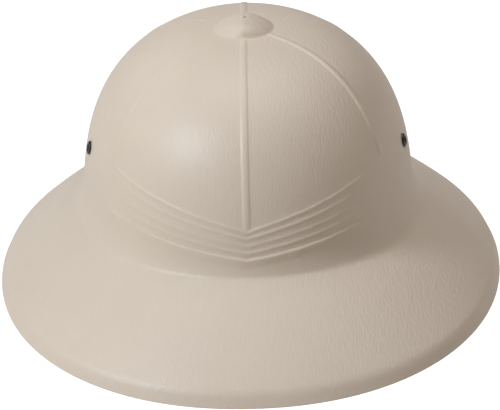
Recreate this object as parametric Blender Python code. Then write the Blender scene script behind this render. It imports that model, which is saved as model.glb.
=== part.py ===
"""Pith helmet: a one-piece moulded sun hat with a small black vent eyelet on each side.

Metres, +Z up. The wearer faces -Y and has +X on the left hand. The rim rests on z = 0, and the
origin is the middle of the helmet's box on that plane. Every upright section through the crown's
axis is one line, which runs from the rim up the turned-down lip, the sloping brim and the fillet
to the domed crown. The sizes below give that line at the front, the side and the back.
"""

import math
from functools import partial

import bmesh
import bpy
from mathutils import Matrix, Vector

# Wall of the pressed shell.
WALL = 0.0023

# Outlines seen from above, each measured from the crown's axis. A power of 2 is an ellipse.
BRIM_OUTLINE = {"side": 0.1451, "front": 0.1679, "back": 0.1637, "front_power": 2.105, "back_power": 2.0}
CROWN_OUTLINE = {"side": 0.0941, "front": 0.1076, "back": 0.1062, "front_power": 1.934, "back_power": 1.94}
AXIS_Y = (BRIM_OUTLINE["front"] - BRIM_OUTLINE["back"]) / 2

# Brim: a gentle convex slope that ends in a crease and a steeper lip.
BRIM_SWELL = 0.0013
LIP_HEIGHT = 0.0073
LIP_FLARE = 0.0036
CREASE_INNER = 0.957
CREASE_OUTER = 0.33

# Crown: a superellipse section, slightly flared where it meets the brim. Its base rises to a soft
# peak at the front and the back.
BASE_HEIGHT = {"front": 0.0461, "side": 0.0391, "back": 0.0433}
BASE_PEAK = 4.0
DOME_HEIGHT = 0.1447
UPRIGHTNESS = {"front": 2.05, "side": 2.50, "back": 2.15}
FULLNESS = {"front": 2.80, "side": 2.75, "back": 2.95}
FLARE = {"front": 0.032, "side": 0.100, "back": 0.050}
FLARE_REACH = {"front": 0.065, "side": 0.072, "back": 0.080}
FILLET_RISE = {"front": 0.012, "side": 0.040, "back": 0.040}
FILLET_OUT = {"front": 0.020, "side": 0.035, "back": 0.060}

# Raised ribs from the button down to the top pleat. The press left those on the right of the wearer
# and behind fainter.
RIBS = (
    {"azimuth": 0.0, "lift": 0.00050},
    {"azimuth": 54.2, "lift": 0.00050},
    {"azimuth": 125.8, "lift": 0.00020},
    {"azimuth": 180.0, "lift": 0.00050},
    {"azimuth": 234.2, "lift": 0.00020},
    {"azimuth": 305.8, "lift": 0.00020},
)
RIB_AZIMUTHS = tuple(rib["azimuth"] for rib in RIBS)
RIB_HALF_WIDTH = 0.0025
RIB_RUNOUT = 0.0045

# Button: a low oval boss where the ribs meet, which falls away like a roof on either side of the front
# rib, with a small nub on top. The powers say how fast it falls each way.
BUTTON = {"side": 0.0169, "front": 0.0174, "side_power": 1.75, "front_power": 6.0, "back_power": 3.0}
BUTTON_HEIGHT = 0.0062
BUTTON_RIB_SHARE = 0.3
NUB_RADIUS = 0.0011
NUB_HEIGHT = 0.0010

# Pleats of the moulded band: raised lines that meet in a V at the front and climb to the sides.
# front and side are their crests' heights at azimuths 0 and 50 degrees. left and right are the azimuths
# where they end, as seen from the front, so right is +X. The lifts are how far they stand out.
PLEAT_SIDE_AZIMUTH = 50.0
PLEAT_LEVEL_AZIMUTH = 60.0
PLEAT_CLIMB_POWER = 0.75
PLEAT_FADE = 7.0
PLEAT_LOWER_SIDE = 0.0019
PLEAT_UPPER_SIDE = 0.0013
PLEAT_FOOT = 0.0048
PLEAT_FRONT_REACH = {"left": 10.0, "right": 24.0}
PLEATS = (
    {"front": 0.0550, "side": 0.0640, "left": 55.0, "right": 46.0,
     "lift_left": 0.00038, "lift_front": 0.00088, "lift_right": 0.00046},
    {"front": 0.0590, "side": 0.0702, "left": 42.0, "right": 42.0,
     "lift_left": 0.00020, "lift_front": 0.00038, "lift_right": 0.00030},
    {"front": 0.0631, "side": 0.0754, "left": 46.0, "right": 38.0,
     "lift_left": 0.00016, "lift_front": 0.00028, "lift_right": 0.00024},
    {"front": 0.0671, "side": 0.0823, "left": 45.0, "right": 41.0,
     "lift_left": 0.00020, "lift_front": 0.00044, "lift_right": 0.00026},
    {"front": 0.0706, "side": 0.0881, "left": 55.0, "right": 47.0,
     "lift_left": 0.00030, "lift_front": 0.00042, "lift_right": 0.00030},
)

# Vent eyelets: a black grommet pressed into a hole on each side. Heights are from the outer skin.
EYELET_AZIMUTH = 76.6
EYELET_HEIGHT = 0.0828
EYELET_CLEARANCE = 0.0003
EYELET_BORE = 0.0019
EYELET_BARREL = 0.0026
EYELET_FLANGE = 0.0039
EYELET_INNER_FLANGE = 0.0036
EYELET_CROWN = 0.00125
EYELET_EDGE = 0.00075
EYELET_INSIDE_GAP = 0.0004
EYELET_INSIDE_THICKNESS = 0.0006
EYELET_SIDES = 16
HOLE_DEPTH = 0.020

# How finely the shell is divided: places of the rings on each line of the section, and columns.
PANEL_COLUMNS = {"front": 10, "side": 10, "back": 8}
RIB_COLUMNS = (-1.0, -0.5, 0.0, 0.5, 1.0)
OUTER_LOWER_RINGS = {
    "lip": (-1.0, -0.62),
    "crease": (0.0, 0.35, 0.7, 1.0),
    "brim": (-0.78, -0.60, -0.42, -0.26, -0.14),
    "fillet": (0.0, 0.33, 0.67, 1.0),
}
INNER_LOWER_RINGS = {
    "lip": (-0.5,),
    "crease": (0.5,),
    "brim": (-0.80, -0.55, -0.32, -0.16),
    "fillet": (0.0, 0.5, 1.0),
}
DOME_RISES = (0.52, 0.62, 0.71, 0.79, 0.86, 0.91, 0.95, 0.975)
# The button's rings, as shares of the way out to its edge; the first lies just outside it.
BUTTON_SHARES = (1.07, 1.0, 0.86, 0.64, 0.36)
INNER_RISES = (0.16, 0.32, 0.46, 0.60, 0.72, 0.82, 0.90, 0.95)
INNER_TOP_RADII = (0.034, 0.018, 0.006)
SHARP_ANGLE = 35.0
STEP = 1e-4

FIBRE = {"color": (0.610, 0.539, 0.451, 1.0), "roughness": 0.55, "metallic": 0.0}
BLACK_METAL = {"color": (0.018, 0.017, 0.016, 1.0), "roughness": 0.38, "metallic": 0.6}


# ---- The helmet's form --------------------------------------------------------------------

def oval_radius(outline, azimuth):
    """Distance from the crown's axis to an outline. Azimuth 0 is the front, a quarter turn +X."""
    ahead = math.cos(azimuth) > 0
    length = outline["front"] if ahead else outline["back"]
    power = outline["front_power"] if ahead else outline["back_power"]
    across = abs(math.sin(azimuth)) / outline["side"]
    along = abs(math.cos(azimuth)) / length
    return (across**power + along**power) ** (-1 / power)


def around(sizes, azimuth, peak=2.0):
    """Value of a size that is given at the front, the side and the back."""
    end = sizes["front"] if math.cos(azimuth) > 0 else sizes["back"]
    share = abs(math.cos(azimuth)) ** peak
    return end * share + sizes["side"] * (1 - share)


def base_height(azimuth):
    """Height of the crown's base above the rim."""
    return around(BASE_HEIGHT, azimuth, BASE_PEAK)


def dome_line(azimuth, turn):
    """Radius and height of the crown: turn 0 is its base, a quarter turn its top."""
    base = base_height(azimuth)
    rise = max(math.sin(turn), 0.0) ** (2 / around(UPRIGHTNESS, azimuth))
    spread = max(math.cos(turn), 0.0) ** (2 / around(FULLNESS, azimuth))
    spread += around(FLARE, azimuth) * math.exp(-rise / around(FLARE_REACH, azimuth)) * (1 - rise)
    return Vector((oval_radius(CROWN_OUTLINE, azimuth) * spread, base + (DOME_HEIGHT - base) * rise))


def turn_at_rise(azimuth, rise):
    """Turn of the crown's section at a share of the way from its base to its top."""
    return math.asin(rise ** (around(UPRIGHTNESS, azimuth) / 2))


def turn_at_height(azimuth, height):
    """Turn of the crown's section at a height above the rim."""
    base = base_height(azimuth)
    return turn_at_rise(azimuth, (height - base) / (DOME_HEIGHT - base))


def turn_at_radius(azimuth, radius):
    """Turn of the crown's section at a small radius, near its top where the flare has gone."""
    spread = radius / oval_radius(CROWN_OUTLINE, azimuth)
    return math.acos(spread ** (around(FULLNESS, azimuth) / 2))


def crease_point(azimuth):
    """Where the brim's slope would meet the lip."""
    return Vector((oval_radius(BRIM_OUTLINE, azimuth) - LIP_FLARE, LIP_HEIGHT))


def brim_line(azimuth, out):
    """Brim's slope: out 0 is under the crown's wall, 1 at the crease."""
    point = dome_line(azimuth, 0.0).lerp(crease_point(azimuth), out)
    return point + Vector((0.0, BRIM_SWELL * 4 * out * (1 - out)))


def lip_line(azimuth, down):
    """Turned-down lip: down 0 is at the crease, 1 at the rim."""
    rim = Vector((oval_radius(BRIM_OUTLINE, azimuth), 0.0))
    return crease_point(azimuth).lerp(rim, down)


def bend(line_in, at_in, line_out, at_out, azimuth, share):
    """Smooth curve that leaves one line and joins another, both walked in growing steps."""
    start, end = line_in(azimuth, at_in), line_out(azimuth, at_out)
    leave = (line_in(azimuth, at_in + STEP) - line_in(azimuth, at_in - STEP)).normalized()
    join = (line_out(azimuth, at_out + STEP) - line_out(azimuth, at_out - STEP)).normalized()
    third = (end - start).length / 3
    a, b = start + leave * third, end - join * third
    rest = 1 - share
    return start * rest**3 + a * 3 * rest**2 * share + b * 3 * rest * share**2 + end * share**3


def falling(line):
    """The same line, walked the other way."""
    return lambda azimuth, at: line(azimuth, -at)


def crease_line(azimuth, share):
    """Rounded crease, from the lip at share 0 to the brim at share 1."""
    return bend(falling(lip_line), -CREASE_OUTER, falling(brim_line), -CREASE_INNER, azimuth, share)


def fillet_line(azimuth, share):
    """Hollow fillet, from the brim at share 0 to the crown's wall at share 1."""
    wall_turn = turn_at_rise(azimuth, around(FILLET_RISE, azimuth))
    return bend(falling(brim_line), -around(FILLET_OUT, azimuth), dome_line, wall_turn, azimuth, share)


LINES = {"lip": falling(lip_line), "crease": crease_line, "brim": falling(brim_line),
         "fillet": fillet_line, "dome": dome_line}


def outward(azimuth, line, at):
    """Unit normal of a section line, in its own plane. Lines are walked from the rim to the top."""
    ahead = LINES[line](azimuth, at + STEP) - LINES[line](azimuth, at - STEP)
    return Vector((ahead.y, -ahead.x)).normalized()


def in_space(azimuth, flat):
    """Point in space of a section's radius and height."""
    return Vector((flat.x * math.sin(azimuth), AXIS_Y - flat.x * math.cos(azimuth), flat.y))


# ---- Raised detail ------------------------------------------------------------------------

def smooth_step(value):
    """0 below 0, 1 above 1, and an even S between."""
    value = min(max(value, 0.0), 1.0)
    return value * value * (3 - 2 * value)


def signed_degrees(azimuth):
    """Azimuth in degrees, from -180 to 180."""
    return (math.degrees(azimuth) + 180) % 360 - 180


def pleat_height(pleat, azimuth):
    """Height of a pleat's crest above the rim."""
    away = min(abs(signed_degrees(azimuth)), PLEAT_LEVEL_AZIMUTH) / PLEAT_SIDE_AZIMUTH
    return pleat["front"] + (pleat["side"] - pleat["front"]) * away**PLEAT_CLIMB_POWER


def pleat_strength(pleat, azimuth):
    """1 along a pleat, falling to 0 at its end on either side."""
    degrees = signed_degrees(azimuth)
    end = pleat["right"] if degrees > 0 else pleat["left"]
    return smooth_step((end - abs(degrees)) / PLEAT_FADE)


def pleat_lift(pleat, azimuth):
    """How far a pleat's crest stands out: most at the front."""
    degrees = signed_degrees(azimuth)
    side, reach = ("lift_right", "right") if degrees > 0 else ("lift_left", "left")
    near = math.exp(-(degrees / PLEAT_FRONT_REACH[reach]) ** 2)
    lift = pleat[side] + (pleat["lift_front"] - pleat[side]) * near
    return lift * pleat_strength(pleat, azimuth)


def nearest_rib(azimuth):
    """The rib that is nearest to an azimuth."""
    return min(RIBS, key=lambda rib: abs(signed_degrees(azimuth - math.radians(rib["azimuth"]))))


def rib_relief(azimuth, sideways, height, radius):
    """Height of a rib over the skin; sideways is -1 and 1 at its edges."""
    runout = smooth_step((height - pleat_height(PLEATS[-1], azimuth)) / RIB_RUNOUT)
    edge = button_edge(azimuth)
    share = runout if radius > edge else BUTTON_RIB_SHARE * radius / edge
    return nearest_rib(azimuth)["lift"] * share * max(0.0, 1 - sideways**2)


def button_edge(azimuth):
    """Distance from the crown's axis to the button's edge."""
    return 1 / math.hypot(math.sin(azimuth) / BUTTON["side"], math.cos(azimuth) / BUTTON["front"])


def button_relief(azimuth, share):
    """Height of the button over the dome, a share of the way out from its middle to its edge."""
    if share >= 1:
        return 0.0
    radius = button_edge(azimuth) * share
    across = abs(radius * math.sin(azimuth)) / BUTTON["side"]
    along = abs(radius * math.cos(azimuth)) / BUTTON["front"]
    roof = 1 - (across / math.sqrt(1 - along**2)) ** BUTTON["side_power"]
    power = BUTTON["front_power"] if math.cos(azimuth) > 0 else BUTTON["back_power"]
    return BUTTON_HEIGHT * (1 - along**power) * roof


# ---- Rings of the shell's grid ------------------------------------------------------------

def panel_kind(centre):
    """Which panel between two ribs a direction in degrees lies in."""
    away = abs((centre + 180) % 360 - 180)
    if away < RIB_AZIMUTHS[1]:
        return "front"
    return "side" if away < RIB_AZIMUTHS[2] else "back"


def columns(radius_at):
    """Azimuths of one ring, each with its place across a rib, or 1 between ribs."""
    edge = [RIB_HALF_WIDTH / radius_at(math.radians(rib)) for rib in RIB_AZIMUTHS]
    found = []
    for number, rib in enumerate(RIB_AZIMUTHS):
        centre = math.radians(rib)
        found += [(centre + edge[number] * sideways, sideways) for sideways in RIB_COLUMNS]
        following = (number + 1) % len(RIB_AZIMUTHS)
        next_rib = RIB_AZIMUTHS[following] + (360 if following == 0 else 0)
        start, end = centre + edge[number], math.radians(next_rib) - edge[following]
        count = PANEL_COLUMNS[panel_kind((rib + next_rib) / 2)]
        found += [(start + (end - start) * step / count, 1.0) for step in range(1, count)]
    return found


def ring(line, place_at, lift_at=None, depth=0.0):
    """One ring of points: place_at gives the place on the line at an azimuth, lift_at the relief there.
    Only a ring with relief crosses the ribs."""
    points = []
    for azimuth, sideways in columns(lambda angle: LINES[line](angle, place_at(angle)).x):
        place = place_at(azimuth)
        flat = LINES[line](azimuth, place)
        lift = -depth
        if lift_at:
            lift += lift_at(azimuth) + rib_relief(azimuth, sideways, flat.y, flat.x)
        points.append(in_space(azimuth, flat + outward(azimuth, line, place) * lift))
    return points


def steady(value):
    """The same value at every azimuth."""
    return lambda azimuth: value


def rise_ring(rise, lift_at=None, depth=0.0):
    """Ring of the crown at a share of its rise."""
    return ring("dome", lambda azimuth: turn_at_rise(azimuth, rise), lift_at, depth)


def radius_ring(radius, lift_at=None, depth=0.0):
    """Ring of the crown at a distance from its axis."""
    return ring("dome", lambda azimuth: turn_at_radius(azimuth, radius), lift_at, depth)


def button_ring(share):
    """Ring of the button at a share of the way out to its edge."""
    return ring(
        "dome",
        lambda azimuth: turn_at_radius(azimuth, button_edge(azimuth) * share),
        lambda azimuth: button_relief(azimuth, share),
    )


def pleat_ring(pleat, above, lift_at):
    """Ring that follows a pleat at a height above its crest."""

    def place_at(azimuth):
        return turn_at_height(azimuth, pleat_height(pleat, azimuth) + above)

    return ring("dome", place_at, lift_at)


def lower_rings(places, depth):
    """Rings of the lip, brim and fillet."""
    rings = []
    for line, values in places.items():
        rings += [ring(line, steady(value), depth=depth) for value in values]
    return rings


def pleat_rings():
    """Three rings for each pleat: its foot, its crest and its upper edge. The lowest falls back slowly."""
    rings = []
    for pleat in PLEATS:
        lower_side = PLEAT_FOOT if pleat is PLEATS[0] else PLEAT_LOWER_SIDE
        rings.append(pleat_ring(pleat, -lower_side, steady(0.0)))
        rings.append(pleat_ring(pleat, 0.0, partial(pleat_lift, pleat)))
        rings.append(pleat_ring(pleat, PLEAT_UPPER_SIDE, steady(0.0)))
    return rings


def outer_rings():
    """Rings of the outer skin, from the rim to the button."""
    rings = lower_rings(OUTER_LOWER_RINGS, 0.0) + pleat_rings()
    rings += [rise_ring(rise, steady(0.0)) for rise in DOME_RISES]
    rings += [button_ring(share) for share in BUTTON_SHARES]
    rings.append(radius_ring(NUB_RADIUS, steady(BUTTON_HEIGHT)))
    return rings


def inner_rings():
    """Rings of the plain inner skin, from the rim to its top."""
    rim_width = WALL / math.sin(math.atan2(LIP_HEIGHT, LIP_FLARE))
    foot = columns(lambda azimuth: oval_radius(BRIM_OUTLINE, azimuth))
    rings = [[in_space(azimuth, lip_line(azimuth, 1.0) - Vector((rim_width, 0.0))) for azimuth, _ in foot]]
    rings += lower_rings(INNER_LOWER_RINGS, WALL)
    rings += [rise_ring(rise, depth=WALL) for rise in INNER_RISES]
    rings += [radius_ring(radius, depth=WALL) for radius in INNER_TOP_RADII]
    return rings


# ---- Meshes -------------------------------------------------------------------------------

def material(name, look):
    """Principled material."""
    made = bpy.data.materials.new(name)
    made.use_nodes = True
    shader = made.node_tree.nodes["Principled BSDF"]
    shader.inputs["Base Color"].default_value = look["color"]
    shader.inputs["Roughness"].default_value = look["roughness"]
    shader.inputs["Metallic"].default_value = look["metallic"]
    made.diffuse_color = look["color"]
    return made


def finished(name, shape, look):
    """Object with its own material, shaded smooth between its sharp edges."""
    bmesh.ops.recalc_face_normals(shape, faces=shape.faces)
    mesh = bpy.data.meshes.new(name)
    shape.to_mesh(mesh)
    shape.free()
    mesh.materials.append(material(name + "_finish", look))
    mesh.shade_smooth()
    mesh.set_sharp_from_angle(angle=math.radians(SHARP_ANGLE))
    made = bpy.data.objects.new(name, mesh)
    bpy.context.scene.collection.objects.link(made)
    return made


def bridge(shape, lower, upper):
    """Band of faces between two rings of vertices."""
    for index in range(len(lower)):
        after = (index + 1) % len(lower)
        shape.faces.new((lower[index], lower[after], upper[after], upper[index]))


def cap(shape, last, top):
    """Fan of faces from a ring to one point."""
    peak = shape.verts.new(top)
    for index in range(len(last)):
        shape.faces.new((last[index], last[(index + 1) % len(last)], peak))


def make_shell():
    """Helmet's shell: outer skin, flat rim and inner skin as one closed body."""
    shape = bmesh.new()
    outer = [[shape.verts.new(point) for point in points] for points in outer_rings()]
    inner = [[shape.verts.new(point) for point in points] for points in inner_rings()]
    for rings in (outer, inner):
        for lower, upper in zip(rings, rings[1:]):
            bridge(shape, lower, upper)
    bridge(shape, inner[0], outer[0])
    cap(shape, outer[-1], Vector((0.0, AXIS_Y, DOME_HEIGHT + BUTTON_HEIGHT + NUB_HEIGHT)))
    cap(shape, inner[-1], Vector((0.0, AXIS_Y, DOME_HEIGHT - WALL)))
    return finished("helmet_shell", shape, FIBRE)


def eyelet_frame(side):
    """Place of an eyelet: origin on the outer skin, Z along the skin's outward normal."""
    azimuth = math.radians(EYELET_AZIMUTH * side)

    def skin(angle, height):
        return in_space(angle, dome_line(angle, turn_at_height(angle, height)))

    across = skin(azimuth + STEP, EYELET_HEIGHT) - skin(azimuth - STEP, EYELET_HEIGHT)
    up = skin(azimuth, EYELET_HEIGHT + STEP) - skin(azimuth, EYELET_HEIGHT - STEP)
    normal = across.cross(up).normalized()
    turn = normal.to_track_quat("Z", "Y").to_matrix().to_4x4()
    return Matrix.Translation(skin(azimuth, EYELET_HEIGHT)) @ turn


def turned(name, profile, look, place):
    """Body turned about Z from a closed profile of radii and heights."""
    shape = bmesh.new()
    rings = []
    for radius, height in profile:
        angles = [2 * math.pi * index / EYELET_SIDES for index in range(EYELET_SIDES)]
        rings.append([shape.verts.new((radius * math.cos(a), radius * math.sin(a), height)) for a in angles])
    for index, lower in enumerate(rings):
        bridge(shape, lower, rings[(index + 1) % len(rings)])
    made = finished(name, shape, look)
    made.matrix_world = place
    return made


def make_eyelet(name, side):
    """Grommet with a rounded flange outside, a barrel through the wall and a flat flange inside."""
    inside = -(WALL + EYELET_INSIDE_GAP)
    back = inside - EYELET_INSIDE_THICKNESS
    profile = (
        (EYELET_BORE, EYELET_EDGE),
        ((EYELET_BORE + EYELET_BARREL) / 2, EYELET_CROWN),
        ((EYELET_BARREL + EYELET_FLANGE) / 2, EYELET_CROWN),
        (EYELET_FLANGE, EYELET_EDGE),
        (EYELET_FLANGE, EYELET_CLEARANCE),
        (EYELET_BARREL, EYELET_CLEARANCE),
        (EYELET_BARREL, inside),
        (EYELET_INNER_FLANGE, inside),
        (EYELET_INNER_FLANGE, back),
        (EYELET_BORE, back),
    )
    return turned(name, profile, BLACK_METAL, eyelet_frame(side))


def cut_hole(shell, name, side):
    """Hole through the wall for an eyelet's barrel."""
    radius = EYELET_BARREL + EYELET_CLEARANCE
    shape = bmesh.new()
    bmesh.ops.create_cone(shape, cap_ends=True, segments=EYELET_SIDES, radius1=radius, radius2=radius,
                          depth=HOLE_DEPTH)
    cutter = finished(name, shape, BLACK_METAL)
    cutter.matrix_world = eyelet_frame(side)
    cutter.display_type = "WIRE"
    cutter.hide_render = True
    cut = shell.modifiers.new(name, "BOOLEAN")
    cut.operation = "DIFFERENCE"
    cut.solver = "EXACT"
    cut.object = cutter


def main():
    for old in list(bpy.data.objects):
        bpy.data.objects.remove(old)
    shell = make_shell()
    for name, side in (("eyelet_left", 1), ("eyelet_right", -1)):
        cut_hole(shell, name + "_hole", side)
        make_eyelet(name, side)


main()
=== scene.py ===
"""Looks of the pith helmet: a fine moulded shell, its two vent eyelets, their finishes and a plain studio.

Metres, +Z up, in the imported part's frame: the wearer faces -Y, and the rim rests on z = 0. The shell
follows the same section lines as the part's source, with more rings and columns and softer relief.
"""

import math

import bmesh
import bpy
import numpy as np
from mathutils import Matrix, Vector


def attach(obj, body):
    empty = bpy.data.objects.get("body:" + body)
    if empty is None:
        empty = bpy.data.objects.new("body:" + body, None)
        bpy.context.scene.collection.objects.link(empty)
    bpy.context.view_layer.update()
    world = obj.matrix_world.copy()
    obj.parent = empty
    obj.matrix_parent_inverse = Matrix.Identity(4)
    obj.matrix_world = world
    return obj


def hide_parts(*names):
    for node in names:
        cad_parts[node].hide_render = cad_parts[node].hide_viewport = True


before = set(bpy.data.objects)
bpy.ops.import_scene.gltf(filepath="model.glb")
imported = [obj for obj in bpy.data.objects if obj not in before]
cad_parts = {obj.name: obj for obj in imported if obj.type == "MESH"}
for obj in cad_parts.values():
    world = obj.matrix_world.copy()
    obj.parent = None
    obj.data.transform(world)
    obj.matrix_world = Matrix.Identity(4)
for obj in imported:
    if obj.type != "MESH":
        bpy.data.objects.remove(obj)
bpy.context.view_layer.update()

# Camera: worked out from the helmet's outline in the photograph. Degrees and metres.
CAMERA_TARGET = Vector((0.0007, 0.0, 0.0347))
CAMERA_DISTANCE = 1.2515
CAMERA_AZIMUTH = 0.760
CAMERA_ELEVATION = 26.888
CAMERA_ROLL = 1.735
CAMERA_LENS = 155.63
CAMERA_CLIP = (0.05, 50.0)

# Wall of the pressed shell, and the rounding of its rim's edges.
WALL = 0.0023
RIM_ROUNDING = 0.0007

# Outlines seen from above, each measured from the crown's axis. A power of 2 is an ellipse.
BRIM_OUTLINE = {"side": 0.1451, "front": 0.1679, "back": 0.1637, "front_power": 2.105, "back_power": 2.0}
CROWN_OUTLINE = {"side": 0.0941, "front": 0.1076, "back": 0.1062, "front_power": 1.934, "back_power": 1.94}
AXIS_Y = (BRIM_OUTLINE["front"] - BRIM_OUTLINE["back"]) / 2

# Brim: a gentle convex slope that ends in a crease and a steeper lip. The crease is rounded from the
# share CREASE_INNER of the way out along the brim to the share CREASE_OUTER of the way down the lip.
BRIM_SWELL = 0.0013
LIP_HEIGHT = 0.0073
LIP_FLARE = 0.0036
CREASE_INNER = 0.957
CREASE_OUTER = 0.33

# Crown: its base rises to a soft peak at the front and the back. Its section is a superellipse whose
# powers are UPRIGHTNESS for the rise and FULLNESS for the spread. FLARE widens it by a share at the
# base and dies away over a share of the height. The fillet leaves the brim at the share FILLET_OUT of
# the way out and joins the wall at the share FILLET_RISE of the way up.
BASE_HEIGHT = {"front": 0.0461, "side": 0.0391, "back": 0.0433}
BASE_PEAK = 4.0
DOME_HEIGHT = 0.1447
UPRIGHTNESS = {"front": 2.05, "side": 2.50, "back": 2.15}
FULLNESS = {"front": 2.80, "side": 2.75, "back": 2.95}
FLARE = {"front": 0.032, "side": 0.100, "back": 0.050}
FLARE_REACH = {"front": 0.065, "side": 0.072, "back": 0.080}
FILLET_RISE = {"front": 0.012, "side": 0.040, "back": 0.040}
FILLET_OUT = {"front": 0.020, "side": 0.035, "back": 0.060}

# Raised ribs from the button down to the top pleat. Azimuth 0 is the front, and 90 the wearer's left.
# The front one on the wearer's right and the two beside the back one came out of the press fainter.
# Their sides take up a share of their half width: most of it by the button.
RIBS = (
    {"azimuth": 0.0, "lift": 0.00050},
    {"azimuth": 54.2, "lift": 0.00068},
    {"azimuth": 125.8, "lift": 0.00020},
    {"azimuth": 180.0, "lift": 0.00050},
    {"azimuth": 234.2, "lift": 0.00020},
    {"azimuth": 305.8, "lift": 0.00020},
)
RIB_AZIMUTHS = tuple(rib["azimuth"] for rib in RIBS)
RIB_HALF_WIDTH = 0.0025
RIB_SIDE = {"button": 0.95, "pleats": 0.65}
RIB_SIDE_REACH = 0.050
RIB_RUNOUT = 0.0030

# Button: a low oval boss where the ribs meet, which falls away like a roof on either side of the front
# rib, with a small nub on top between two dimples. The powers say how fast it falls each way.
BUTTON = {"side": 0.0169, "front": 0.0174, "side_power": 1.75, "front_power": 6.0, "back_power": 3.0}
BUTTON_HEIGHT = 0.0062
BUTTON_EDGE = 0.0016
BUTTON_RIB_SHARE = 0.3
NUB_RADIUS = 0.0011
NUB_HEIGHT = 0.0010
DIMPLE_AWAY = 0.0019
DIMPLE_RADIUS = 0.0006
DIMPLE_DEPTH = 0.0008
# Keeps the button's width, which is divided by, above zero at its front and back ends.
SMALLEST_SQUARE = 1e-6

# Pleats of the moulded band: raised lines that meet in a V at the front and climb to the sides.
# front and side are their crests' heights at azimuths 0 and 50 degrees. left and right are the azimuths
# where they end, as seen from the front, so right is +X. The lifts are how far they stand out.
PLEAT_SIDE_AZIMUTH = 50.0
PLEAT_LEVEL_AZIMUTH = 60.0
PLEAT_CLIMB_POWER = 0.75
PLEAT_FADE = 8.0
PLEAT_ROUNDING = 1.2
PLEAT_FRONT_REACH = {"left": 10.0, "right": 24.0}
PLEATS = (
    {"front": 0.0550, "side": 0.0640, "left": 55.0, "right": 46.0,
     "lift_left": 0.00038, "lift_front": 0.00088, "lift_right": 0.00046},
    {"front": 0.0590, "side": 0.0702, "left": 42.0, "right": 42.0,
     "lift_left": 0.00020, "lift_front": 0.00038, "lift_right": 0.00030},
    {"front": 0.0631, "side": 0.0754, "left": 46.0, "right": 38.0,
     "lift_left": 0.00016, "lift_front": 0.00028, "lift_right": 0.00024},
    {"front": 0.0671, "side": 0.0823, "left": 45.0, "right": 41.0,
     "lift_left": 0.00020, "lift_front": 0.00044, "lift_right": 0.00026},
    {"front": 0.0706, "side": 0.0881, "left": 55.0, "right": 47.0,
     "lift_left": 0.00030, "lift_front": 0.00042, "lift_right": 0.00030},
)
# The hand-laid look of the pleats: their crests wander and their strength varies in two waves, and the
# lowest one nearly fades out for a short stretch on the right of the wearer. A wave's rate is its count
# round the crown, and its shift the phase from one pleat to the next, in radians.
PLEAT_WANDER = 0.00010
PLEAT_UNEVENNESS = 0.16
PLEAT_WAVES = ({"rate": 41.0, "shift": 2.3}, {"rate": 67.0, "shift": 4.1})
PLEAT_STRENGTH_SHIFT = 1.0
PLEAT_GAP = {"azimuth": -38.0, "half_width": 5.0, "share": 0.75}
# One pleat's profile: offset up from its crest, and share of its height. Below the lowest pleat the
# skin falls back slowly instead.
PLEAT_PROFILE = (
    {"up": -0.00195, "share": 0.00},
    {"up": -0.00155, "share": 0.16},
    {"up": -0.00115, "share": 0.42},
    {"up": -0.00075, "share": 0.71},
    {"up": -0.00038, "share": 0.92},
    {"up": 0.00000, "share": 1.00},
    {"up": 0.00030, "share": 0.91},
    {"up": 0.00060, "share": 0.66},
    {"up": 0.00088, "share": 0.36},
    {"up": 0.00112, "share": 0.13},
    {"up": 0.00135, "share": 0.00},
)
PLEAT_FOOT = (
    {"up": -0.00480, "share": 0.00},
    {"up": -0.00400, "share": 0.11},
    {"up": -0.00310, "share": 0.32},
    {"up": -0.00220, "share": 0.56},
    {"up": -0.00130, "share": 0.80},
    {"up": -0.00060, "share": 0.95},
)

# Vent eyelets: a black grommet pressed into a hole on each side. EYELET_HEIGHT is above the rim, and
# EYELET_CLEARANCE and EYELET_CROWN are above the outer skin.
EYELET_AZIMUTH = 76.6
EYELET_HEIGHT = 0.0828
EYELET_CLEARANCE = 0.0003
EYELET_BORE = 0.0019
EYELET_BARREL = 0.0026
EYELET_FLANGE = 0.0039
EYELET_INNER_FLANGE = 0.0036
EYELET_CROWN = 0.00125
EYELET_INSIDE_GAP = 0.0004
EYELET_INSIDE_THICKNESS = 0.0006
EYELET_SIDES = 48
EYELET_SHARP_ANGLE = 50.0
ROLL_STEPS = 10
HOLE_DEPTH = 0.020

# How finely the shell is divided. The columns lie closest on the sides of the ribs.
RIB_HALF_COLUMNS = np.array([0.40, 0.58, 0.68, 0.76, 0.84, 0.92, 1.0])
RIB_COLUMNS = np.concatenate([-RIB_HALF_COLUMNS[::-1], [0.0], RIB_HALF_COLUMNS])
PANEL_COLUMNS = {"front": 50, "side": 46, "back": 36}
RIM_STEPS = 5
LIP_PLACES = (0.78, 0.62, 0.48)
INNER_LIP_PLACE = 0.62
CREASE_STEPS = 9
BRIM_STEPS = 24
FILLET_STEPS = 11
BAND_STEPS = 6
DOME_STEPS = 46
BUTTON_EDGE_SHARES = (0.66, 0.33)
BUTTON_STEPS = 18
DIMPLE_STEPS = 10
NUB_STEPS = 5
INNER_STEPS = {"crease": 4, "brim": 9, "fillet": 6, "dome": 26}
STEP = 1e-4


# ---- The helmet's form --------------------------------------------------------------------
# A place in a section is a pair of arrays, radius and height, with one value for each column.

def oval_radius(outline, azimuth):
    """Distance from the crown's axis to an outline. Azimuth 0 is the front, a quarter turn +X."""
    ahead = np.cos(azimuth) > 0
    length = np.where(ahead, outline["front"], outline["back"])
    power = np.where(ahead, outline["front_power"], outline["back_power"])
    across = abs(np.sin(azimuth)) / outline["side"]
    along = abs(np.cos(azimuth)) / length
    return (across**power + along**power) ** (-1 / power)


def around(sizes, azimuth, peak=2.0):
    """Value of a size that is given at the front, the side and the back."""
    end = np.where(np.cos(azimuth) > 0, sizes["front"], sizes["back"])
    share = abs(np.cos(azimuth)) ** peak
    return end * share + sizes["side"] * (1 - share)


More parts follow.
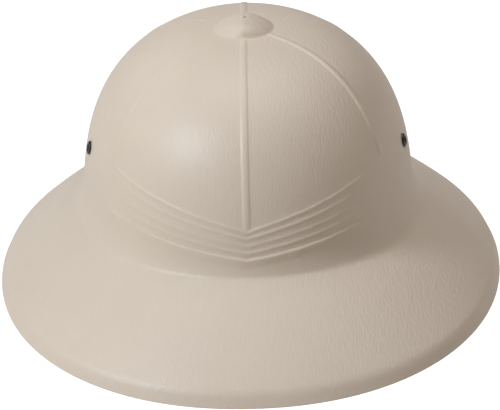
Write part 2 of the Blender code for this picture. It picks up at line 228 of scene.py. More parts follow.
def base_height(azimuth):
    """Height of the crown's base, which rises to a peak at the front and the back."""
    return around(BASE_HEIGHT, azimuth, BASE_PEAK)


def mix(start, end, share):
    """Value a share of the way from start to end."""
    return start + (end - start) * share


def dome_line(azimuth, turn):
    """Crown's section: turn 0 is its base, a quarter turn its top."""
    base = base_height(azimuth)
    rise = np.maximum(np.sin(turn), 0.0) ** (2 / around(UPRIGHTNESS, azimuth))
    spread = np.maximum(np.cos(turn), 0.0) ** (2 / around(FULLNESS, azimuth))
    spread = spread + around(FLARE, azimuth) * np.exp(-rise / around(FLARE_REACH, azimuth)) * (1 - rise)
    return np.array([oval_radius(CROWN_OUTLINE, azimuth) * spread, base + (DOME_HEIGHT - base) * rise])


def turn_at_rise(azimuth, rise):
    """Turn of the crown's section at a share of the way from its base to its top."""
    return np.arcsin(rise ** (around(UPRIGHTNESS, azimuth) / 2))


def turn_at_height(azimuth, height):
    """Turn of the crown's section at a height above the rim."""
    base = base_height(azimuth)
    return turn_at_rise(azimuth, (height - base) / (DOME_HEIGHT - base))


def turn_at_radius(azimuth, radius):
    """Turn of the crown's section at a small radius, near its top where the flare has gone."""
    spread = radius / oval_radius(CROWN_OUTLINE, azimuth)
    return np.arccos(spread ** (around(FULLNESS, azimuth) / 2))


def crease_point(azimuth):
    """Where the brim's slope would meet the lip."""
    radius = oval_radius(BRIM_OUTLINE, azimuth) - LIP_FLARE
    return np.array([radius, np.full_like(radius, LIP_HEIGHT)])


def brim_line(azimuth, out):
    """Brim's slope: out 0 is under the crown's wall, 1 at the crease."""
    place = mix(dome_line(azimuth, 0.0), crease_point(azimuth), out)
    place[1] += BRIM_SWELL * 4 * out * (1 - out)
    return place


def lip_line(azimuth, down):
    """Turned-down lip: down 0 is at the crease, 1 at the rim."""
    radius = oval_radius(BRIM_OUTLINE, azimuth)
    return mix(crease_point(azimuth), np.array([radius, np.zeros_like(radius)]), down)


def rising_lip(azimuth, at):
    """The lip, walked upwards from -1 at the rim to 0 at the crease."""
    return lip_line(azimuth, -at)


def rising_brim(azimuth, at):
    """The brim, walked inwards from -1 at the crease to 0 under the crown's wall."""
    return brim_line(azimuth, -at)


def unit(pair):
    """Pairs scaled to length 1."""
    return pair / np.hypot(pair[0], pair[1])


def heading(line, azimuth, at):
    """Unit direction of a section line."""
    return unit(line(azimuth, at + STEP) - line(azimuth, at - STEP))


def bend(line_in, at_in, line_out, at_out, azimuth, share):
    """Smooth curve that leaves one line and joins another."""
    start, end = line_in(azimuth, at_in), line_out(azimuth, at_out)
    third = np.hypot(*(end - start)) / 3
    leave = start + heading(line_in, azimuth, at_in) * third
    join = end - heading(line_out, azimuth, at_out) * third
    rest = 1 - share
    return start * rest**3 + leave * 3 * rest**2 * share + join * 3 * rest * share**2 + end * share**3


def crease_line(azimuth, share):
    """Rounded crease, from the lip at share 0 to the brim at share 1."""
    return bend(rising_lip, -CREASE_OUTER, rising_brim, -CREASE_INNER, azimuth, share)


def fillet_line(azimuth, share):
    """Hollow fillet, from the brim at share 0 to the crown's wall at share 1."""
    wall_turn = turn_at_rise(azimuth, around(FILLET_RISE, azimuth))
    return bend(rising_brim, -around(FILLET_OUT, azimuth), dome_line, wall_turn, azimuth, share)


def offset(line, azimuth, at, lift):
    """Section place raised by lift along the line's outward normal."""
    ahead = heading(line, azimuth, at)
    return line(azimuth, at) + np.array([ahead[1], -ahead[0]]) * lift


# ---- Raised detail ------------------------------------------------------------------------

def smooth_step(value):
    """0 below 0, 1 above 1, and an even S between."""
    value = np.clip(value, 0.0, 1.0)
    return value * value * (3 - 2 * value)


def signed_degrees(azimuth):
    """Azimuth in degrees, from -180 to 180."""
    return (np.degrees(azimuth) + 180) % 360 - 180


def pleat_wave(pleat, azimuth):
    """Slow unevenness along a pleat, different for each, between about -1 and 1."""
    number = PLEATS.index(pleat)
    waves = [np.sin(wave["rate"] * azimuth + wave["shift"] * number) for wave in PLEAT_WAVES]
    return sum(waves) / len(waves)


def pleat_height(pleat, azimuth):
    """Height of a pleat's crest above the rim."""
    degrees = np.minimum(abs(signed_degrees(azimuth)), PLEAT_LEVEL_AZIMUTH)
    away = (np.hypot(degrees, PLEAT_ROUNDING) - PLEAT_ROUNDING) / PLEAT_SIDE_AZIMUTH
    climb = (pleat["side"] - pleat["front"]) * away**PLEAT_CLIMB_POWER
    return pleat["front"] + climb + PLEAT_WANDER * pleat_wave(pleat, azimuth)


def pleat_strength(pleat, azimuth):
    """About 1 along a pleat, falling to 0 at its end on either side."""
    degrees = signed_degrees(azimuth)
    end = np.where(degrees > 0, pleat["right"], pleat["left"])
    strength = smooth_step((end - abs(degrees)) / PLEAT_FADE)
    if pleat is PLEATS[0]:
        near = smooth_step(1 - abs(degrees - PLEAT_GAP["azimuth"]) / PLEAT_GAP["half_width"])
        strength = strength * (1 - PLEAT_GAP["share"] * near)
    return strength * (1 + PLEAT_UNEVENNESS * pleat_wave(pleat, azimuth + PLEAT_STRENGTH_SHIFT))


def pleat_lift(pleat, azimuth):
    """How far a pleat's crest stands out: most at the front."""
    degrees = signed_degrees(azimuth)
    reach = np.where(degrees > 0, PLEAT_FRONT_REACH["right"], PLEAT_FRONT_REACH["left"])
    side = np.where(degrees > 0, pleat["lift_right"], pleat["lift_left"])
    near = np.exp(-(degrees / reach) ** 2)
    return mix(side, pleat["lift_front"], near) * pleat_strength(pleat, azimuth)


def button_edge(azimuth):
    """Distance from the crown's axis to the button's edge."""
    return 1 / np.hypot(np.sin(azimuth) / BUTTON["side"], np.cos(azimuth) / BUTTON["front"])


def button_relief(azimuth, radius):
    """Height over the dome of the button, its nub and the dimples on either side of the nub."""
    across = np.minimum(abs(radius * np.sin(azimuth)) / BUTTON["side"], 1.0)
    along = np.minimum(abs(radius * np.cos(azimuth)) / BUTTON["front"], 1.0)
    reach = np.sqrt(np.maximum(1 - along**2, SMALLEST_SQUARE))
    roof = 1 - np.minimum(across / reach, 1.0) ** BUTTON["side_power"]
    power = np.where(np.cos(azimuth) > 0, BUTTON["front_power"], BUTTON["back_power"])
    boss = BUTTON_HEIGHT * (1 - along**power) * roof
    nub = NUB_HEIGHT * np.sqrt(np.maximum(0.0, 1 - (radius / NUB_RADIUS) ** 2))
    apart = np.hypot(abs(radius * np.sin(azimuth)) - DIMPLE_AWAY, radius * np.cos(azimuth))
    return boss + nub - DIMPLE_DEPTH * np.exp(-(apart / DIMPLE_RADIUS) ** 2)


def rib_relief(azimuth, sideways, place):
    """Height of a rib over the skin; sideways is -1 and 1 at its edges."""
    radius, height = place
    away = [abs(signed_degrees(azimuth - math.radians(rib["azimuth"]))) for rib in RIBS]
    lift = np.array([rib["lift"] for rib in RIBS])[np.argmin(away, axis=0)]
    runout = smooth_step((height - pleat_height(PLEATS[-1], azimuth)) / RIB_RUNOUT)
    edge = button_edge(azimuth)
    share = mix(BUTTON_RIB_SHARE * radius / edge, 1.0, smooth_step((radius - edge) / BUTTON_EDGE)) * runout
    side = mix(RIB_SIDE["button"], RIB_SIDE["pleats"], smooth_step((radius - edge) / RIB_SIDE_REACH))
    return lift * share * smooth_step((1 - abs(sideways)) / side)


# ---- Rings of the shell's grid ------------------------------------------------------------

def panel_kind(centre):
    """Which panel between two ribs a direction in degrees lies in."""
    away = abs((centre + 180) % 360 - 180)
    if away < RIB_AZIMUTHS[1]:
        return "front"
    return "side" if away < RIB_AZIMUTHS[2] else "back"


def columns(rib_radii):
    """Azimuths of one ring, and each column's place across a rib, or 1 between ribs."""
    azimuths, sideways = [], []
    edges = RIB_HALF_WIDTH / rib_radii
    for number, rib in enumerate(RIB_AZIMUTHS):
        centre = math.radians(rib)
        following = (number + 1) % len(RIB_AZIMUTHS)
        next_rib = RIB_AZIMUTHS[following] + (360 if following == 0 else 0)
        start, end = centre + edges[number], math.radians(next_rib) - edges[following]
        count = PANEL_COLUMNS[panel_kind((rib + next_rib) / 2)]
        azimuths += [centre + edges[number] * RIB_COLUMNS, np.linspace(start, end, count + 1)[1:-1]]
        sideways += [RIB_COLUMNS, np.ones(count - 1)]
    return np.concatenate(azimuths), np.concatenate(sideways)


def ring(line, place_at, lift_at=None, depth=0.0, ribbed=False):
    """Points of one ring. place_at and lift_at give a value for each azimuth."""
    ribs = np.radians(RIB_AZIMUTHS)
    azimuth, sideways = columns(line(ribs, place_at(ribs))[0])
    at = place_at(azimuth)
    lift = -depth + (lift_at(azimuth) if lift_at else 0.0)
    if ribbed:
        lift = lift + rib_relief(azimuth, sideways, line(azimuth, at))
    return in_space(azimuth, offset(line, azimuth, at, lift))


def in_space(azimuth, place):
    """Points in space of section places."""
    radius, height = place
    across, ahead = radius * np.sin(azimuth), AXIS_Y - radius * np.cos(azimuth)
    return np.stack([across, ahead, height], axis=-1)


def steady(value):
    """The same place on a line at every azimuth."""
    return lambda azimuth: np.full_like(azimuth, value)


def steady_rings(line, values, depth=0.0):
    """Rings at the same places on a line all round."""
    return [ring(line, steady(value), depth=depth) for value in values]


def rim_rings():
    """Rings of the rim, from the inner skin's foot to the lip: two rounded corners and a flat."""
    azimuth, _ = columns(oval_radius(BRIM_OUTLINE, np.radians(RIB_AZIMUTHS)))
    slope = math.atan2(LIP_HEIGHT, LIP_FLARE)
    up_lip = unit(np.array([-LIP_FLARE, LIP_HEIGHT])).reshape(2, 1) * RIM_ROUNDING
    along_flat = np.array([[RIM_ROUNDING], [0.0]])
    outer_tip = lip_line(azimuth, 1.0)
    inner_tip = outer_tip - np.array([[WALL / math.sin(slope)], [0.0]])
    rings = []
    for tip, come, leave in ((inner_tip, up_lip, along_flat), (outer_tip, -along_flat, up_lip)):
        for share in np.linspace(0, 1, RIM_STEPS):
            place = tip + come * (1 - share) ** 2 + leave * share**2
            rings.append(in_space(azimuth, place))
    return rings


def band_rings():
    """Rings between the fillet and the lowest pleat."""
    foot = PLEAT_FOOT[0]["up"]

    def place(share):
        def at(azimuth):
            start = turn_at_rise(azimuth, around(FILLET_RISE, azimuth))
            end = turn_at_height(azimuth, pleat_height(PLEATS[0], azimuth) + foot)
            return mix(start, end, share)
        return at

    return [ring(dome_line, place(share)) for share in np.linspace(0, 1, BAND_STEPS + 1)[1:-1]]


def pleat_profile(pleat):
    """Rows of a pleat's profile; the lowest pleat has a longer lower side."""
    if pleat is not PLEATS[0]:
        return PLEAT_PROFILE
    return PLEAT_FOOT + tuple(row for row in PLEAT_PROFILE if row["up"] >= 0)


def pleat_rings():
    """Rings that follow each pleat's profile."""
    rings = []
    for pleat in PLEATS:
        for row in pleat_profile(pleat):
            def place(azimuth, pleat=pleat, row=row):
                return turn_at_height(azimuth, pleat_height(pleat, azimuth) + row["up"])

            def lift(azimuth, pleat=pleat, row=row):
                return row["share"] * pleat_lift(pleat, azimuth)

            rings.append(ring(dome_line, place, lift, ribbed=True))
    return rings


def crown_rings():
    """Rings from the top pleat to the button's edge."""
    head = PLEAT_PROFILE[-1]["up"]

    def place(share):
        def at(azimuth):
            start = turn_at_height(azimuth, pleat_height(PLEATS[-1], azimuth) + head)
            end = turn_at_radius(azimuth, button_edge(azimuth) + BUTTON_EDGE)
            return mix(start, end, share)
        return at

    return [ring(dome_line, place(share), ribbed=True) for share in np.linspace(0, 1, DOME_STEPS + 1)[1:]]


def button_rings():
    """Rings of the button and its nub: round its edge, then evened out to circles at the dimples."""
    crater = DIMPLE_AWAY + 2 * DIMPLE_RADIUS
    rings = []

    def add(radius_at):
        def place(azimuth):
            return turn_at_radius(azimuth, radius_at(azimuth))

        def lift(azimuth):
            return button_relief(azimuth, radius_at(azimuth))

        rings.append(ring(dome_line, place, lift, ribbed=True))

    for share in BUTTON_EDGE_SHARES:
        add(lambda azimuth: button_edge(azimuth) + BUTTON_EDGE * share)
    for share in np.linspace(0, 1, BUTTON_STEPS):
        add(lambda azimuth: mix(button_edge(azimuth), crater, share))
    for radius in np.linspace(crater, NUB_RADIUS, DIMPLE_STEPS)[1:]:
        add(steady(radius))
    for turn in np.linspace(0, math.pi / 2, NUB_STEPS + 1)[1:-1]:
        add(steady(NUB_RADIUS * math.cos(turn)))
    return rings


def open_brim_rings(steps, depth=0.0):
    """Rings of the brim between the crease and the fillet."""

    def place(share):
        return lambda azimuth: -mix(CREASE_INNER, around(FILLET_OUT, azimuth), share)

    return [ring(rising_brim, place(share), depth=depth) for share in np.linspace(0, 1, steps + 1)[1:-1]]


def outer_rings():
    """Rings of the outer skin, from the lip to the nub."""
    rings = steady_rings(rising_lip, [-place for place in LIP_PLACES])
    rings += steady_rings(crease_line, np.linspace(0, 1, CREASE_STEPS))
    rings += open_brim_rings(BRIM_STEPS)
    rings += steady_rings(fillet_line, np.linspace(0, 1, FILLET_STEPS))
    return rings + band_rings() + pleat_rings() + crown_rings() + button_rings()


def inner_rings():
    """Rings of the plain inner skin, from its top down to the rim."""
    rings = steady_rings(rising_lip, [-INNER_LIP_PLACE], WALL)
    rings += steady_rings(crease_line, np.linspace(0, 1, INNER_STEPS["crease"]), WALL)
    rings += open_brim_rings(INNER_STEPS["brim"], WALL)
    rings += steady_rings(fillet_line, np.linspace(0, 1, INNER_STEPS["fillet"]), WALL)

    def place(share):
        def at(azimuth):
            start = turn_at_rise(azimuth, around(FILLET_RISE, azimuth))
            end = turn_at_radius(azimuth, NUB_RADIUS)
            return mix(start, end, share)
        return at

    shares = np.linspace(0, 1, INNER_STEPS["dome"] + 1)[1:]
    rings += [ring(dome_line, place(share), depth=WALL) for share in shares]
    return rings[::-1]


# ---- Meshes -------------------------------------------------------------------------------

def grid_mesh(name, rings, first, last):
    """Mesh of rings joined one to the next, closed by a point at each end."""
    count = len(rings[0])
    points = [first, *np.concatenate(rings), last]
    near = np.arange(count)
    after = (near + 1) % count
    faces = [(0, 1 + b, 1 + a) for a, b in zip(near.tolist(), after.tolist())]
    for number in range(len(rings) - 1):
        low, high = 1 + number * count, 1 + (number + 1) * count
        faces += [(low + a, low + b, high + b, high + a) for a, b in zip(near.tolist(), after.tolist())]
    top = 1 + (len(rings) - 1) * count
    faces += [(top + a, top + b, len(points) - 1) for a, b in zip(near.tolist(), after.tolist())]
    mesh = bpy.data.meshes.new(name)
    mesh.from_pydata([tuple(point) for point in points], [], faces)
    mesh.validate()
    mesh.shade_smooth()
    return mesh


def add_object(name, mesh):
    """Object in the scene with a mesh."""
    made = bpy.data.objects.new(name, mesh)
    bpy.context.scene.collection.objects.link(made)
    return made


def make_shell():
    """Fine shell: inner skin, rim and outer skin as one closed body."""
    rings = inner_rings() + rim_rings() + outer_rings()
    inner_top = (0.0, AXIS_Y, DOME_HEIGHT - WALL)
    outer_top = (0.0, AXIS_Y, DOME_HEIGHT + BUTTON_HEIGHT + NUB_HEIGHT)
    return add_object("moulded_shell", grid_mesh("moulded_shell", rings, inner_top, outer_top))


def eyelet_frame(side):
    """Place of an eyelet: origin on the outer skin, Z along the skin's outward normal."""
    azimuth = math.radians(EYELET_AZIMUTH * side)

    def skin(angle, height):
        angle = np.array([angle])
        return Vector(in_space(angle, dome_line(angle, turn_at_height(angle, height)))[0])

    across = skin(azimuth + STEP, EYELET_HEIGHT) - skin(azimuth - STEP, EYELET_HEIGHT)
    up = skin(azimuth, EYELET_HEIGHT + STEP) - skin(azimuth, EYELET_HEIGHT - STEP)
    normal = across.cross(up).normalized()
    turn = normal.to_track_quat("Z", "Y").to_matrix().to_4x4()
    return Matrix.Translation(skin(azimuth, EYELET_HEIGHT)) @ turn


def turned(name, profile, place):
    """Body turned about Z from a closed profile of radii and heights."""
    shape = bmesh.new()
    angles = [2 * math.pi * index / EYELET_SIDES for index in range(EYELET_SIDES)]
    rings = [[shape.verts.new((r * math.cos(a), r * math.sin(a), h)) for a in angles] for r, h in profile]
    for number, low in enumerate(rings):
        high = rings[(number + 1) % len(rings)]
        for index in range(EYELET_SIDES):
            after = (index + 1) % EYELET_SIDES
            shape.faces.new((low[index], low[after], high[after], high[index]))
    bmesh.ops.recalc_face_normals(shape, faces=shape.faces)
    shape.transform(place)
    mesh = bpy.data.meshes.new(name)
    shape.to_mesh(mesh)
    shape.free()
    mesh.shade_smooth()
    mesh.set_sharp_from_angle(angle=math.radians(EYELET_SHARP_ANGLE))
    return add_object(name, mesh)


def make_eyelet(name, side):
    """Grommet with a rolled flange outside, a barrel through the wall and a flat flange inside."""
    inside = -(WALL + EYELET_INSIDE_GAP)
    back = inside - EYELET_INSIDE_THICKNESS
    middle = (EYELET_BORE + EYELET_FLANGE) / 2
    half = (EYELET_FLANGE - EYELET_BORE) / 2
    profile = []
    for turn in np.linspace(math.pi, 0, ROLL_STEPS + 1):
        height = EYELET_CLEARANCE + (EYELET_CROWN - EYELET_CLEARANCE) * math.sin(turn)
        profile.append((middle + half * math.cos(turn), height))
    profile += [
        (EYELET_BARREL, EYELET_CLEARANCE),
        (EYELET_BARREL, inside),
        (EYELET_INNER_FLANGE, inside),
        (EYELET_INNER_FLANGE, back),
        (EYELET_BORE, back),
    ]
    return turned(name, profile, eyelet_frame(side))


def cut_holes(shell):
    """Cuts the two vent holes through the shell's wall."""
    radius = EYELET_BARREL + EYELET_CLEARANCE
    for side in (1, -1):
        shape = bmesh.new()
        bmesh.ops.create_cone(shape, cap_ends=True, segments=EYELET_SIDES, radius1=radius, radius2=radius,
                              depth=HOLE_DEPTH)
        shape.transform(eyelet_frame(side))
        mesh = bpy.data.meshes.new("cutter")
        shape.to_mesh(mesh)
        shape.free()
        cutter = add_object("cutter", mesh)
        cut = shell.modifiers.new("hole", "BOOLEAN")
        cut.operation = "DIFFERENCE"
        cut.solver = "EXACT"
        cut.object = cutter
        bpy.context.view_layer.update()
        whole = bpy.data.meshes.new_from_object(shell.evaluated_get(bpy.context.evaluated_depsgraph_get()))
        shell.modifiers.remove(cut)
        shell.data = whole
        bpy.data.objects.remove(cutter)


# ---- Finishes -----------------------------------------------------------------------------

# Noises: cells in a metre, octaves and how strong the finer octaves are. The threads' cells are set
# on each axis, and the weft takes over from the warp where the skin faces sideways.
NOISES = {
    "threads": {"scale": 1.0, "detail": 2.0, "roughness": 0.60},
    "fine": {"scale": 900.0, "detail": 3.0, "roughness": 0.65},
    "mottle": {"scale": 22.0, "detail": 3.0, "roughness": 0.55},
    "peel": {"scale": 1800.0, "detail": 2.0, "roughness": 0.50},
    "dust": {"scale": 600.0, "detail": 3.0, "roughness": 0.60},
    "tooth": {"scale": 120.0, "detail": 4.0, "roughness": 0.60},
}
WARP_CELLS = (1000.0, 240.0, 240.0)
WEFT_CELLS = (240.0, 1000.0, 240.0)
WEFT_FACING = (0.62, 0.86)

# Pressed fibre. The speckle and strand are how much those noises change its shade, and fine_relief is
# how high the fine noise stands beside the threads.
FIBRE_LIGHT = (0.640, 0.538, 0.426, 1.0)
FIBRE_DARK = (0.624, 0.522, 0.412, 1.0)
FIBRE_MOTTLE = (0.30, 0.70)
FIBRE = {"speckle": 0.04, "strand": 0.03, "roughness": 0.38, "roughness_spread": 0.10, "specular": 0.31,
         "fine_relief": 0.20, "bump_strength": 0.80, "bump_distance": 0.00028}

# Black enamel, a little greyer and rougher where dust lies.
ENAMEL_CLEAN = (0.014, 0.013, 0.012, 1.0)
ENAMEL_DUSTY = (0.030, 0.028, 0.026, 1.0)
ENAMEL_DUST = (0.45, 0.75)
ENAMEL = {"roughness": 0.32, "roughness_spread": 0.15, "bump_strength": 0.25, "bump_distance": 0.00003}

FLOOR_COLOURS = ((0.24, 0.24, 0.24, 1.0), (0.26, 0.26, 0.26, 1.0))
FLOOR_ROUGHNESS = 0.9
BLACK = (0.0, 0.0, 0.0, 1.0)
WHITE = (1.0, 1.0, 1.0, 1.0)


class Nodes:
    """Short ways to add and join the nodes of one material."""

    def __init__(self, name):
        self.material = bpy.data.materials.new(name)
        self.material.use_nodes = True
        self.tree = self.material.node_tree

    def fill(self, node, inputs):
        """Sets inputs, given by name or as i and a number, to values or to other nodes' outputs."""
        for key, value in inputs.items():
            socket = node.inputs[int(key[1:])] if key[0] == "i" and key[1:].isdigit() else node.inputs[key]
            if isinstance(value, bpy.types.NodeSocket):
                self.tree.links.new(value, socket)
            else:
                socket.default_value = value

    def add(self, kind, settings=(), **inputs):
        """Node of a kind, with its settings and inputs."""
        node = self.tree.nodes.new(kind)
        for key, value in dict(settings).items():
            setattr(node, key, value)
        self.fill(node, inputs)
        return node

    def finished(self, inputs):
        """The material, once its shader's inputs are set."""
        self.fill(self.tree.nodes["Principled BSDF"], inputs)
        return self.material

    def place(self):
        """Place on the object, in metres."""
        return self.add("ShaderNodeTexCoord").outputs["Object"]

    def math(self, operation, first, second=0.0, third=0.0):
        """Output of one Math node."""
        return self.add("ShaderNodeMath", {"operation": operation}, i0=first, i1=second, i2=third).outputs[0]

    def noise(self, vector, name):
        """Output of a noise of the table, from 0 to 1."""
        row = NOISES[name]
        return self.add("ShaderNodeTexNoise", {}, Vector=vector, Scale=row["scale"], Detail=row["detail"],
                        Roughness=row["roughness"]).outputs["Fac"]

    def stretched(self, vector, scale):
        """Vector scaled on each axis."""
        return self.add("ShaderNodeMapping", {}, Vector=vector, Scale=scale).outputs[0]

    def ramp(self, factor, low, high):
        """Value from 0 to 1 as factor goes from low to high."""
        return self.add("ShaderNodeMapRange", {"interpolation_type": "SMOOTHSTEP"}, Value=factor,
                        i1=low, i2=high).outputs[0]

    def blend(self, factor, first, second, kind="MIX"):
        """Mix of two colours."""
        settings = {"data_type": "RGBA", "blend_type": kind}
        return self.add("ShaderNodeMix", settings, i0=factor, i6=first, i7=second).outputs[2]

    def vary(self, noise, spread):
        """Factor about 1 that follows a noise."""
        return self.math("MULTIPLY_ADD", self.math("SUBTRACT", noise, 0.5), spread, 1.0)

    def rough(self, share, finish):
        """Roughness of a finish, more of it where share is high."""
        return self.math("MULTIPLY_ADD", share, finish["roughness_spread"], finish["roughness"])

    def bump(self, height, finish):
        """Normal of a finish with a fine relief."""
        return self.add("ShaderNodeBump", {}, Strength=finish["bump_strength"],
                        Distance=finish["bump_distance"], Height=height).outputs[0]


def fibre_finish():
    """Semi-matte pressed fibre: strands that run up its walls and over its top, and uneven colour."""
    nodes = Nodes("moulded_fibre")
    place = nodes.place()
    facing = nodes.add("ShaderNodeNewGeometry").outputs["Normal"]
    parts = nodes.add("ShaderNodeSeparateXYZ", {}, Vector=facing).outputs
    sideways = nodes.ramp(nodes.math("ABSOLUTE", parts[0]), *WEFT_FACING)

    warp = nodes.noise(nodes.stretched(place, WARP_CELLS), "threads")
    weft = nodes.noise(nodes.stretched(place, WEFT_CELLS), "threads")
    threads = nodes.add("ShaderNodeMix", {}, i0=sideways, i2=warp, i3=weft).outputs[0]
    fine = nodes.noise(place, "fine")

    mottle = nodes.ramp(nodes.noise(place, "mottle"), *FIBRE_MOTTLE)
    colour = nodes.blend(mottle, FIBRE_DARK, FIBRE_LIGHT)
    shade = nodes.math("MULTIPLY", nodes.vary(fine, FIBRE["speckle"]), nodes.vary(threads, FIBRE["strand"]))
    grey = nodes.add("ShaderNodeCombineColor", {}, i0=shade, i1=shade, i2=shade).outputs[0]
    relief = nodes.math("MULTIPLY_ADD", fine, FIBRE["fine_relief"], threads)
    return nodes.finished({
        "Base Color": nodes.blend(1.0, colour, grey, "MULTIPLY"),
        "Roughness": nodes.rough(fine, FIBRE),
        "Normal": nodes.bump(relief, FIBRE),
        "Specular IOR Level": FIBRE["specular"],
    })


def enamel_finish():
    """Black stoved enamel with a faint orange-peel surface."""
    nodes = Nodes("black_enamel")
    place = nodes.place()
    dust = nodes.ramp(nodes.noise(place, "dust"), *ENAMEL_DUST)
    return nodes.finished({
        "Base Color": nodes.blend(dust, ENAMEL_CLEAN, ENAMEL_DUSTY),
        "Roughness": nodes.rough(dust, ENAMEL),
        "Normal": nodes.bump(nodes.noise(place, "peel"), ENAMEL),
    })


def floor_finish(name, glow, tint):
    """Grey studio floor that glows, like a light table."""
    nodes = Nodes(name)
    return nodes.finished({
        "Base Color": nodes.blend(nodes.noise(nodes.place(), "tooth"), *FLOOR_COLOURS),
        "Roughness": FLOOR_ROUGHNESS,
        "Specular IOR Level": 0.0,
        "Emission Color": tint,
        "Emission Strength": glow,
    })


def glow_finish(name, glow):
    """Even white glow of the backdrop and the studio wall."""
    return Nodes(name).finished({
        "Base Color": BLACK,
        "Specular IOR Level": 0.0,
        "Emission Color": WHITE,
        "Emission Strength": glow,
    })


# ---- Studio -------------------------------------------------------------------------------

# Two floors: the camera sees the first, and the second only lights the helmet, a little warmer.
FLOORS = {
    "studio_floor": {"glow": 1.00, "tint": WHITE, "depth": 0.0,
                     "rays": ("camera", "transmission", "volume_scatter")},
    "bounce_floor": {"glow": 0.515, "tint": (1.067, 0.995, 0.938, 1.0), "depth": 0.001,
                     "rays": ("diffuse", "glossy", "transmission", "volume_scatter", "shadow")},
}
FLOOR_HALF = 10.0
FLOOR_SEGMENTS = 8
# White dome all round, which only the camera sees.
BACKDROP_RADIUS = 15.0
BACKDROP_SUBDIVISIONS = 3
BACKDROP_GLOW = 1.0
# White wall behind the helmet, which only shows as a sheen where the shell turns away.
STUDIO_WALL_AWAY = 3.0
STUDIO_WALL_HALF = 2.5
STUDIO_WALL_GLOW = 0.32
WORLD_STRENGTH = 0.02
RAYS = ("camera", "diffuse", "glossy", "transmission", "volume_scatter", "shadow")
# Soft lights: direction in degrees from the front towards +X, and up, size across, and watts.
LIGHTS = (
    {"name": "key", "azimuth": -58.1, "elevation": 37.7, "size": 0.46, "power": 21.8,
     "tint": (0.905, 0.984, 1.112)},
    {"name": "left", "azimuth": -94.5, "elevation": 19.0, "size": 0.60, "power": 1.6,
     "tint": (1.25, 1.05, 0.70)},
    {"name": "over", "azimuth": -118.0, "elevation": 82.0, "size": 1.13, "power": 5.5,
     "tint": (0.815, 1.045, 1.14)},
    {"name": "over_right", "azimuth": 113.0, "elevation": 69.8, "size": 1.80, "power": 15.3,
     "tint": (1.04, 0.965, 0.996)},
    {"name": "front", "azimuth": 12.0, "elevation": 60.0, "size": 1.00, "power": 1.4,
     "tint": (1.25, 1.05, 0.70)},
)
LIGHT_DISTANCE = 1.8
LIGHT_AIM = Vector((0.0, 0.0, 0.07))


def direction(azimuth, elevation):
    """Unit vector of a direction in degrees, from the front towards +X, and up."""
    a, e = math.radians(azimuth), math.radians(elevation)
    return Vector((math.sin(a) * math.cos(e), -math.cos(a) * math.cos(e), math.sin(e)))


def aimed(thing, place, target):
    """Puts a camera or light at a place and turns it to face a target."""
    turn = (place - target).to_track_quat("Z", "Y")
    thing.matrix_world = Matrix.Translation(place) @ turn.to_matrix().to_4x4()


def add_stage(name, shape, finish, rays):
    """Stage piece made from a bmesh, which only some kinds of ray meet."""
    mesh = bpy.data.meshes.new(name)
    shape.to_mesh(mesh)
    shape.free()
    mesh.materials.append(finish)
    made = add_object(name, mesh)
    for ray in RAYS:
        setattr(made, "visible_" + ray, ray in rays)


def make_floors():
    """The floor that the camera sees and the one that lights the helmet."""
    for name, row in FLOORS.items():
        shape = bmesh.new()
        bmesh.ops.create_grid(shape, x_segments=FLOOR_SEGMENTS, y_segments=FLOOR_SEGMENTS, size=FLOOR_HALF)
        bmesh.ops.translate(shape, verts=shape.verts, vec=(0.0, 0.0, -row["depth"]))
        add_stage(name, shape, floor_finish(name + "_finish", row["glow"], row["tint"]), row["rays"])


def make_backdrop():
    """Dome that is white to the camera and gives no light."""
    shape = bmesh.new()
    bmesh.ops.create_icosphere(shape, subdivisions=BACKDROP_SUBDIVISIONS, radius=BACKDROP_RADIUS)
    add_stage("studio_backdrop", shape, glow_finish("backdrop_glow", BACKDROP_GLOW), ("camera",))


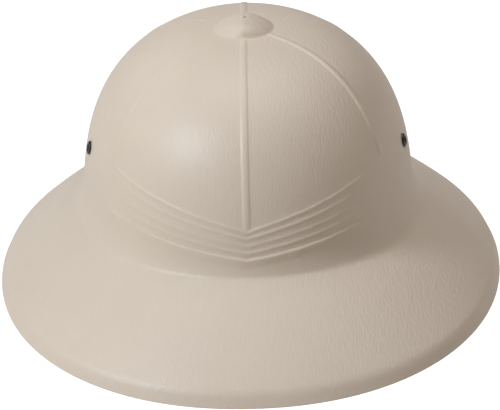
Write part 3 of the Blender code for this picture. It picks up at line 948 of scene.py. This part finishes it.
def make_studio_wall():
    """Wall behind the helmet that only its sheen shows."""
    shape = bmesh.new()
    bmesh.ops.create_grid(shape, x_segments=1, y_segments=1, size=STUDIO_WALL_HALF)
    bmesh.ops.rotate(shape, verts=shape.verts, matrix=Matrix.Rotation(math.radians(90), 3, "X"))
    bmesh.ops.translate(shape, verts=shape.verts, vec=(0.0, STUDIO_WALL_AWAY, STUDIO_WALL_HALF))
    add_stage("studio_wall", shape, glow_finish("wall_glow", STUDIO_WALL_GLOW), ("glossy",))


def make_world():
    """Faint even light from all round."""
    world = bpy.data.worlds.new("studio_world")
    bpy.context.scene.world = world
    world.use_nodes = True
    world.node_tree.nodes["Background"].inputs["Strength"].default_value = WORLD_STRENGTH


def make_lights():
    """Soft round lights, all aimed at the helmet."""
    for row in LIGHTS:
        light = bpy.data.lights.new(row["name"], "AREA")
        light.shape = "DISK"
        light.size = row["size"]
        light.energy = row["power"]
        light.color = row["tint"]
        made = bpy.data.objects.new(row["name"], light)
        bpy.context.scene.collection.objects.link(made)
        place = LIGHT_AIM + direction(row["azimuth"], row["elevation"]) * LIGHT_DISTANCE
        aimed(made, place, LIGHT_AIM)


def make_camera():
    """Camera at the photograph's angle."""
    camera = bpy.data.cameras.new("camera")
    camera.lens = CAMERA_LENS
    camera.clip_start, camera.clip_end = CAMERA_CLIP
    made = bpy.data.objects.new("camera", camera)
    bpy.context.scene.collection.objects.link(made)
    place = CAMERA_TARGET + direction(CAMERA_AZIMUTH, CAMERA_ELEVATION) * CAMERA_DISTANCE
    aimed(made, place, CAMERA_TARGET)
    made.matrix_world = made.matrix_world @ Matrix.Rotation(math.radians(-CAMERA_ROLL), 4, "Z")
    bpy.context.scene.camera = made


# ---- The scene ----------------------------------------------------------------------------

make_camera()
make_floors()
make_backdrop()
make_studio_wall()
make_world()
make_lights()
bpy.context.scene.view_settings.view_transform = "Standard"

shell = make_shell()
cut_holes(shell)
shell.data.materials.clear()
shell.data.materials.append(fibre_finish())
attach(shell, "root")
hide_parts("helmet_shell")

enamel = enamel_finish()
for node, name, side in (("eyelet_left", "grommet_left", 1), ("eyelet_right", "grommet_right", -1)):
    grommet = make_eyelet(name, side)
    grommet.data.materials.append(enamel)
    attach(grommet, "root")
    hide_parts(node)
